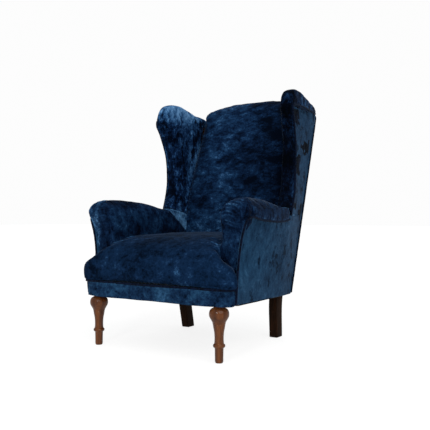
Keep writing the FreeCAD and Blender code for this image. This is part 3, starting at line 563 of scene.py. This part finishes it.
def blownUp():
    # the covers' tension: each pad is sewn down along its seams and where it meets its neighbours, and swells
    # under light pressure in between
    before, sewn = {}, {}
    for key, piece in pads.items():
        before[key] = points(piece)
        sewn[key] = np.maximum(held[key], 1 - smoothstep(nearNodes(before[key], touching[key]), 0.004, 0.016))
        group = piece.vertex_groups.new(name="sewn")
        for index, weight in enumerate(sewn[key]):
            if weight > 0.02:
                group.add([index], float(weight), "REPLACE")
        cloth = piece.modifiers.new("cloth", "CLOTH")
        feel = cloth.settings
        feel.quality, feel.mass = 4, 0.35
        feel.tension_stiffness = feel.compression_stiffness = 18
        feel.shear_stiffness, feel.bending_stiffness = 8, 1.2
        feel.use_pressure, feel.uniform_pressure_force = True, padding["pressure"]
        feel.shrink_min = -0.012
        feel.effector_weights.gravity = 0
        feel.vertex_group_mass = "sewn"
        cloth.point_cache.frame_start, cloth.point_cache.frame_end = 1, padding["frames"]
    for step in range(1, padding["frames"] + 1):
        scene.frame_set(step)
    graph = bpy.context.evaluated_depsgraph_get()
    for key, piece in pads.items():
        mesh = piece.evaluated_get(graph).to_mesh()
        co = np.empty(len(mesh.vertices) * 3, np.float32)
        mesh.vertices.foreach_get("co", co)
        move = co.reshape(-1, 3).astype(float) - before[key]
        far = np.linalg.norm(move, axis=1)
        print(key, "moved (mm) median, 90%, most:", [round(float(v) * 1000, 1) for v in
                                                    (np.median(far), np.percentile(far, 90), far.max())])
        cap = padding["seatCap"] if key in ("seat", "back") else padding["sideCap"]
        move *= (cap * np.tanh(far / cap) / np.maximum(far, 1e-9))[:, None]
        piece.modifiers.clear()
        piece.vertex_groups.clear()
        setPoints(piece, before[key] + move)
        relaxed(piece, 2, sewn[key])
        beside = np.clip(sewn[key] - held[key], 0, 1)  # pads press into each other, so nothing shows between them
        setPoints(piece, points(piece) + normals(piece) * (padding["press"] * beside)[:, None])
    scene.frame_set(1)


blownUp()
print("cloth has settled")

for key, piece in pads.items():
    rumpled(piece, 9, 0.0022, 3.7 * len(key), held[key])
    subdivided(piece)
    shadeSmooth(piece)
    rumpled(piece, 42, 0.0007, 1.3 * len(key))

# ---- folds

def rolledOver(piece, seam, sign):
    # the arm's roll comes down outside the panel's top edge, to the piping beneath it
    co = points(piece)
    lookup = KDTree(len(seam))
    for index, place in enumerate(seam):
        lookup.insert(place, index)
    lookup.balance()
    for index, (x, y, z) in enumerate(co):
        if x * sign < 0.3 or not -0.325 < y < 0.08 or not 0.485 < z < 0.55:
            continue
        place = lookup.find((x, y, z))[0]
        if place[2] < 0.49 or z < place[2] - 0.004:
            continue
        share = (z - place[2]) / (0.55 - place[2])
        edge = place[0] * sign + 0.0035 + 0.004 * math.sin(math.pi * min(max(share, 0), 1))
        ends = float(smoothstep(y, -0.325, -0.30) * (1 - smoothstep(y, 0.05, 0.08)))
        co[index, 0] += sign * max(0.0, edge - x * sign) * ends
    setPoints(piece, co)


def onSurface(piece, corners):
    # a stroke drawn near a pad, laid onto it
    tree = BVHTree.FromPolygons([v.co for v in piece.data.vertices], [p.vertices for p in piece.data.polygons])
    return [tuple(tree.find_nearest(Vector(c) / 1000)[0] * 1000) for c in corners]


armFolds = [  # pleats fanned round the top of the arm's front, then the seam over the roll
    ([(268, -330, 545), (300, -343, 556), (338, -345, 545), (368, -338, 520)], 0.0040, 0.0038),
    ([(272, -318, 570), (305, -336, 574), (345, -340, 562), (376, -334, 536)], 0.0038, 0.0030),
    ([(266, -334, 512), (292, -345, 527), (325, -346, 522), (352, -340, 502)], 0.0040, 0.0036),
    ([(290, -310, 588), (322, -326, 588), (356, -330, 572), (384, -326, 548)], 0.0036, 0.0026),
    ([(264, -336, 478), (285, -345, 490), (312, -346, 488), (338, -342, 474)], 0.0040, 0.0024),
    ([(382, -318, 516), (391, -312, 545), (378, -306, 578), (345, -302, 596), (308, -300, 598), (276, -296, 575)],
     0.0038, 0.0042),
    ([(262, 5, 585), (253, 30, 562), (250, 80, 520), (248, 130, 482), (246, 180, 440)], 0.0045, 0.005)]
wingFolds = [
    ([(345, 66, 905), (318, 64, 915), (288, 90, 925), (268, 130, 940)], 0.0047, 0.0028),
    ([(350, 60, 935), (322, 58, 938), (294, 80, 945), (270, 125, 962)], 0.0044, 0.0022),
    ([(334, 112, 600), (312, 100, 590), (286, 104, 580), (266, 130, 575)], 0.0047, 0.0022)]
seatFolds = [
    ([(262, -300, 405), (225, -292, 428), (180, -280, 438)], 0.0044, 0.0041),
    ([(262, -268, 412), (230, -262, 432), (196, -250, 441)], 0.0040, 0.0034),
    ([(264, -330, 392), (236, -326, 415), (205, -320, 428)], 0.0044, 0.0031)]
def earShaped(piece, seam, sign):
    # the wing's top is stuffed round, and its roof ends flush over the panel's rear top corner
    co = points(piece)
    relaxed(piece, 60, 1 - smoothstep(co[:, 2], 0.985, 1.03))
    co = points(piece)
    roof = seam[seam[:, 2] > 0.97]
    drop = np.interp(co[:, 1], roof[:, 1], roof[:, 2]) - co[:, 2]  # how far a point is below the piping
    limit = np.interp(co[:, 1], roof[:, 1], roof[:, 0] * sign) + 0.004 - 0.011 * smoothstep(drop, -0.001, 0.004)
    over = np.maximum(0, co[:, 0] * sign - limit) * (co[:, 2] > 0.955) * smoothstep(co[:, 1], 0.1, 0.2)
    co[:, 0] -= sign * over
    rear = 0.401 + (co[:, 2] - 0.985) * 0.249
    co[:, 1] -= np.maximum(0, co[:, 1] - rear)
    setPoints(piece, co)


# how strong the painted highlight on each pad's fold lips is
foldShine = {"seat": 0.6, "leftArm": 0.6, "rightArm": 0.3, "leftWing": 0.15, "rightWing": 0.2}
for side, sign in sides:
    earShaped(pads[side + "Wing"], seams[side + "wing"], sign)
    rolledOver(pads[side + "Arm"], seams[side + "arm"], sign)
    drawnTo(pads[side + "Arm"], seams[side + "arm"], 0.006, 0.017, 0.85)
    drawnTo(pads[side + "Wing"], seams[side + "wing"], 0.006, 0.016, 0.85)
    for key, strokes in ((side + "Arm", armFolds), (side + "Wing", wingFolds), ("seat", seatFolds)):
        laid = [(onSurface(pads[key], corners if sign > 0 else flipped(corners)), width, depth)
                for corners, width, depth in strokes]
        creased(pads[key], laid, foldShine[key])
    puckered(pads[side + "Arm"], seams[side + "arm"], 0.021, 0.0011)
    puckered(pads[side + "Wing"], seams[side + "wing"], 0.023, 0.0010)
drawnTo(pads["seat"], seams["seat"], 0.005, 0.012, 0.8)
puckered(pads["seat"], seams["seat"], 0.024, 0.0014)
for part in ("left_arm_cover", "right_arm_cover"):  # a painted highlight along the seat's rim where it meets the arms
    rim = nearNodes(points(pads["seat"]), [part], 0.02)
    painted_highlight(pads["seat"], 0.6 * np.exp(-((rim - 0.007) / 0.004) ** 2))
print("folds and puckers are pressed in")

replacedBy = {"seat": ["seat_cover", "seat_stuffing"], "back": ["back_cover", "back_stuffing"]}
for side, sign in sides:
    replacedBy[side + "Arm"] = [side + "_arm_cover", side + "_arm_stuffing"]
    replacedBy[side + "Wing"] = [side + "_wing_cover", side + "_wing_stuffing"]


def placed(piece, slotName, *nodes):
    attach(piece, "root")
    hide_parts(*nodes)


for key, piece in pads.items():
    placed(piece, "velvet_cover", *replacedBy[key])

# ---- stretched panels


def refined(name, node, longest, material, slotName):
    # a CAD cover's own faces, cut small enough to take a cloth's unevenness
    sheet = bmesh.new()
    sheet.from_mesh(cad[node].data)
    bmesh.ops.remove_doubles(sheet, verts=sheet.verts, dist=0.00002)
    for _ in range(9):
        spans = [e for e in sheet.edges if e.calc_length() > longest]
        if not spans:
            break
        bmesh.ops.subdivide_edges(sheet, edges=spans, cuts=1)
        bmesh.ops.triangulate(sheet, faces=sheet.faces[:])
    mesh = bpy.data.meshes.new(name)
    sheet.to_mesh(mesh)
    sheet.free()
    piece = newPiece(name, mesh, material, slotName)
    shadeSmooth(piece)
    mesh.set_sharp_from_angle(angle=math.radians(38))
    return piece


panelLook = {"longest": 0.012, "rumple": 0.0016, "pucker": 0.0009, "hem": 0.003}
panels = {}


def hemmed(piece, front, frontZ, rear, rearZ):
    # the bottom edge is turned under the rails, so it reaches a little below them
    co = points(piece)
    share = np.clip((co[:, 1] - front) / (rear - front), 0, 1)
    above = co[:, 2] - (frontZ + (rearZ - frontZ) * share)
    co[:, 2] -= panelLook["hem"] * (1 - smoothstep(above, 0.001, 0.03))
    setPoints(piece, co)


def tuckedUnder(piece, seam, sign):
    # the panel's top edge runs up inside the roll of the arm, above the piping
    co = points(piece)
    gap = np.interp(co[:, 1], seam[:, 1], seam[:, 2])
    above = smoothstep(co[:, 2], gap + 0.001, gap + 0.006) * (co[:, 1] > -0.322) * (co[:, 1] < 0.085)
    co[:, 0] -= sign * 0.007 * above * (co[:, 2] < 0.56)
    setPoints(piece, co)



for side, sign in sides:
    name = side + "_outside_cover"
    panels[name] = refined(name, side + "_outside_panel", panelLook["longest"], velvets["panel"], "velvet_panel")
    rumpled(panels[name], 7, panelLook["rumple"], 2.0 + sign)
    hemmed(panels[name], -0.368, 0.205, 0.204, 0.185)
    underRoll = seams[side + "arm"]
    tuckedUnder(panels[name], underRoll[underRoll[:, 2] > 0.49], sign)
    for part in ("arm", "wing"):
        puckered(panels[name], seams[side + part], 0.022, panelLook["pucker"])
        drawnTo(panels[name], seams[side + part], 0.003, 0.009, 0.5)
    drawnTo(panels[name], seams["back"], 0.004, 0.012, 0.6)
    placed(panels[name], "velvet_panel", side + "_outside_panel")
panels["outside_back_cover"] = refined("outside_back_cover", "outside_back_panel", panelLook["longest"],
                                       velvets["panel"], "velvet_panel")
rumpled(panels["outside_back_cover"], 7, panelLook["rumple"], 5.0)
puckered(panels["outside_back_cover"], seams["back"], 0.022, panelLook["pucker"])
drawnTo(panels["outside_back_cover"], seams["back"], 0.004, 0.012, 0.7)
placed(panels["outside_back_cover"], "velvet_panel", "outside_back_panel")
panels["front_border_band"] = refined("front_border_band", "front_border", 0.008, velvets["border"], "velvet_cover")
rumpled(panels["front_border_band"], 14, 0.0014, 6.0)
puckered(panels["front_border_band"], seams["seat"], 0.024, 0.0012)
hemmed(panels["front_border_band"], -0.42, 0.203, -0.36, 0.203)
co = points(panels["front_border_band"])
under = 1 - smoothstep(co[:, 2], 0.203, 0.236)
co[:, 0] *= 1 - 0.008 * under ** 2 * smoothstep(np.abs(co[:, 0]), 0.28, 0.34)
setPoints(panels["front_border_band"], co)
for key in ("seat", "leftarm", "rightarm"):
    drawnTo(panels["front_border_band"], seams[key], 0.007, 0.012, 0.9)
placed(panels["front_border_band"], "velvet_cover", "front_border")
print("outside panels:", {k: len(p.data.polygons) for k, p in panels.items()})

# the lining sags a little between the rails that it is tacked to
lining = refined("black_lining", "dust_cover", 0.016, cambricMat, "dust_cambric")
low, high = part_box("dust_cover")
co = points(lining)
middle, half = (np.array(low) + np.array(high)) / 2, (np.array(high) - np.array(low)) / 2
inwards = np.clip(1 - ((co - middle) / half)[:, 0] ** 2, 0, 1) * np.clip(1 - ((co - middle) / half)[:, 1] ** 2, 0, 1)
co[:, 2] -= 0.007 * inwards
setPoints(lining, co)
rumpled(lining, 12, 0.0012, 8.0)
placed(lining, "dust_cambric", "dust_cover")

# ---- piping

pipe = {"Radius": 0.0041, "Pull": 0.0005, "Step": 0.004, "Sides": 12}


def pipingTree():
    # a tube along every line it is given, drawn in and out a little as sewing does
    tree = bpy.data.node_groups.new("sewn_piping", "GeometryNodeTree")
    face = tree.interface
    face.new_socket("Geometry", in_out="INPUT", socket_type="NodeSocketGeometry")
    for label, kind in (("Radius", "Float"), ("Pull", "Float"), ("Step", "Float"), ("Sides", "Int"),
                        ("Seed", "Float"), ("Finish", "Material")):
        face.new_socket(label, in_out="INPUT", socket_type="NodeSocket" + kind)
    face.new_socket("Geometry", in_out="OUTPUT", socket_type="NodeSocketGeometry")
    given = add(tree, "NodeGroupInput").outputs
    line = add(tree, "GeometryNodeMeshToCurve", {"Mesh": given["Geometry"]}).outputs["Curve"]
    even = add(tree, "GeometryNodeResampleCurve", {"Curve": line, "Length": given["Step"]}, mode="LENGTH")
    ring = add(tree, "GeometryNodeCurvePrimitiveCircle", {"Resolution": given["Sides"], "Radius": given["Radius"]})
    tube = add(tree, "GeometryNodeCurveToMesh", {"Curve": even.outputs["Curve"], "Profile Curve": ring.outputs["Curve"],
                                                 "Fill Caps": True}).outputs["Mesh"]
    drawn = add(tree, "ShaderNodeTexNoise", {"W": given["Seed"], "Scale": 85.0, "Detail": 2.0}, noise_dimensions="4D")
    swing = add(tree, "ShaderNodeMath", {0: drawn.outputs["Fac"], 1: 0.5}, operation="SUBTRACT").outputs[0]
    reach = add(tree, "ShaderNodeMath", {0: swing, 1: given["Pull"]}, operation="MULTIPLY").outputs[0]
    twice = add(tree, "ShaderNodeMath", {0: reach, 1: 4.0}, operation="MULTIPLY").outputs[0]
    out = add(tree, "GeometryNodeInputNormal").outputs["Normal"]
    offset = add(tree, "ShaderNodeVectorMath", {0: out, "Scale": twice}, operation="SCALE").outputs[0]
    moved = add(tree, "GeometryNodeSetPosition", {"Geometry": tube, "Offset": offset}).outputs["Geometry"]
    soft = add(tree, "GeometryNodeSetShadeSmooth", {"Geometry": moved}).outputs["Geometry"]
    real = add(tree, "GeometryNodeRealizeInstances", {"Geometry": soft}).outputs["Geometry"]
    finished = add(tree, "GeometryNodeSetMaterial", {"Geometry": real, "Material": given["Finish"]})
    add(tree, "NodeGroupOutput", {"Geometry": finished.outputs["Geometry"]})
    return tree


pipingGroup = pipingTree()


def piped(name, line, seed):
    mesh = bpy.data.meshes.new(name + "_line")
    mesh.from_pydata([tuple(p) for p in line], [(i, i + 1) for i in range(len(line) - 1)], [])
    carrier = newPiece(name + "_line", mesh, pipingMat, "piping_cloth")
    modifier = carrier.modifiers.new("piping", "NODES")
    modifier.node_group = pipingGroup
    values = dict(pipe, Seed=seed, Finish=pipingMat)
    for socket in pipingGroup.interface.items_tree:
        if socket.in_out == "INPUT" and socket.name in values:
            modifier[socket.identifier] = values[socket.name]
    applied(carrier)
    piece = newPiece(name, carrier.data, pipingMat, "piping_cloth")
    bpy.data.objects.remove(carrier)
    placed(piece, "piping_cloth", name.replace("cord", "piping"))
    return piece


for name, key, seed in (("seat_cord", "seat", 1.0), ("back_cord", "back", 2.0), ("left_arm_cord", "leftarm", 3.0),
                        ("right_arm_cord", "rightarm", 4.0), ("left_wing_cord", "leftwing", 5.0),
                        ("right_wing_cord", "rightwing", 6.0)):
    piped(name, seams[key], seed)
print("seams are piped")

# ---- legs

turning = {"segments": 56, "step": 0.0008, "top": 0.206, "rings": (0.1295, 0.1355, 0.1425), "cut": 0.0009,
           "cutWidth": 0.0011}


def turnedLeg(side):
    # turned about its own axis to the CAD leg's radii, with three fine lines cut in by the skew chisel
    node = cad[side + "_front_leg"]
    low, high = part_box(side + "_front_leg")
    x, y = (low[0] + high[0]) / 2, (low[1] + high[1]) / 2
    tree = BVHTree.FromPolygons([v.co for v in node.data.vertices], [p.vertices for p in node.data.polygons])
    radii = []
    for z in np.arange(0.0002, turning["top"], turning["step"]):
        struck = tree.ray_cast(Vector((x + 0.08, y, z)), Vector((-1, 0, 0)))[0]
        radius = struck.x - x
        for ring in turning["rings"]:
            radius -= turning["cut"] * math.exp(-((z - ring) / turning["cutWidth"]) ** 2)
        radii.append((radius, z))
    count = turning["segments"]
    rings = [[(x + r * math.cos(2 * math.pi * k / count), y + r * math.sin(2 * math.pi * k / count), z)
              for k in range(count)] for r, z in [(radii[0][0], 0.0)] + radii]
    verts = [p for ring in rings for p in ring] + [(x, y, 0.0), (x, y, rings[-1][0][2])]
    faces = [(i * count + k, i * count + (k + 1) % count, (i + 1) * count + (k + 1) % count, (i + 1) * count + k)
             for i in range(len(rings) - 1) for k in range(count)]
    last, foot, head = (len(rings) - 1) * count, len(verts) - 2, len(verts) - 1
    faces += [(foot, (k + 1) % count, k) for k in range(count)]
    faces += [(head, last + k, last + (k + 1) % count) for k in range(count)]
    mesh = bpy.data.meshes.new(side + "_turned_leg")
    mesh.from_pydata(verts, [], faces)
    piece = newPiece(side + "_turned_leg", mesh, walnutMat, "leg_walnut")
    shadeSmooth(piece)
    mesh.set_sharp_from_angle(angle=math.radians(50))
    placed(piece, "leg_walnut", side + "_front_leg")


def squareLeg(side):
    # the back leg and post, with its sawn arrises rounded over
    name = side + "_square_leg"
    piece = newPiece(name, joined([side + "_back_post"]), stainedMat, "post_stained_beech")
    sheet = bmesh.new()
    sheet.from_mesh(piece.data)
    bmesh.ops.dissolve_limit(sheet, angle_limit=math.radians(1.5), verts=sheet.verts, edges=sheet.edges)
    sheet.to_mesh(piece.data)
    sheet.free()
    bevel = piece.modifiers.new("arris", "BEVEL")
    bevel.width, bevel.segments, bevel.limit_method, bevel.angle_limit = 0.004, 4, "ANGLE", math.radians(40)
    applied(piece)
    shadeSmooth(piece)
    piece.data.set_sharp_from_angle(angle=math.radians(30))
    placed(piece, "post_stained_beech", side + "_back_post")


for side, sign in sides:
    turnedLeg(side)
    squareLeg(side)
print("legs are turned and eased")

# ---- floor, light and camera

studio = {"floor": "787878", "floorGlow": 0.82, "seen": 0.98, "around": 0.72, "sun": 1.5, "sunSpread": 50, "highlight": 22}
floorMesh = bpy.data.meshes.new("floor")
floorMesh.from_pydata([(-40, -40, 0), (40, -40, 0), (40, 40, 0), (-40, 40, 0)], [], [(0, 1, 2, 3)])
floor = bpy.data.objects.new("floor", floorMesh)
scene.collection.objects.link(floor)
floorMat, floorTree, floorShader, floorCoords = surface("pale_floor", studio["floor"], Roughness=0.9)
floorShader.inputs["Base Color"].default_value = linear(studio["floor"])
floorShader.inputs["Emission Color"].default_value = (1, 1, 1, 1)  # a lit floor sheet keeps the shadows pale
floorShader.inputs["Emission Strength"].default_value = studio["floorGlow"]
floorMesh.materials.append(floorMat)

# the backdrop is seen near white, and lights the chair a little less than that
world = bpy.data.worlds.new("studio")
scene.world = world
world.use_nodes = True
scene.view_settings.view_transform = "Standard"
sky = world.node_tree
rays = add(sky, "ShaderNodeLightPath").outputs["Is Camera Ray"]
level = add(sky, "ShaderNodeMix", {"Factor": rays, "A": studio["around"], "B": studio["seen"]}, data_type="FLOAT")
sky.links.new(level.outputs["Result"], sky.nodes["Background"].inputs["Strength"])
sky.nodes["Background"].inputs["Color"].default_value = (1, 1, 1, 1)


def lamp(name, kind, place, aim, power):
    light = bpy.data.lights.new(name, kind)
    light.energy = power
    piece = bpy.data.objects.new(name, light)
    scene.collection.objects.link(piece)
    piece.location = place
    piece.rotation_euler = (Vector(aim) - Vector(place)).to_track_quat("-Z", "Y").to_euler()
    return light


lamp("window_light", "SUN", (2.4, -1.6, 3.0), (0, 0, 0.4), studio["sun"]).angle = math.radians(studio["sunSpread"])
softbox = lamp("softbox", "AREA", (0.6, -2.8, 1.3), (0.25, -0.4, 0.17), studio["highlight"])
softbox.size = 0.3

camera = bpy.data.objects.new("camera", bpy.data.cameras.new("camera"))
scene.collection.objects.link(camera)
scene.camera = camera
camera.data.sensor_width = 36
camera.data.lens = 51.2
camera.data.shift_x, camera.data.shift_y = 0.0025, -0.0065
camera.location = (1.463, -2.1855, 0.506)
camera.rotation_euler = (Vector((0, 0.0275, 0.535)) - camera.location).to_track_quat("-Z", "Y").to_euler()
print("camera and light are set")
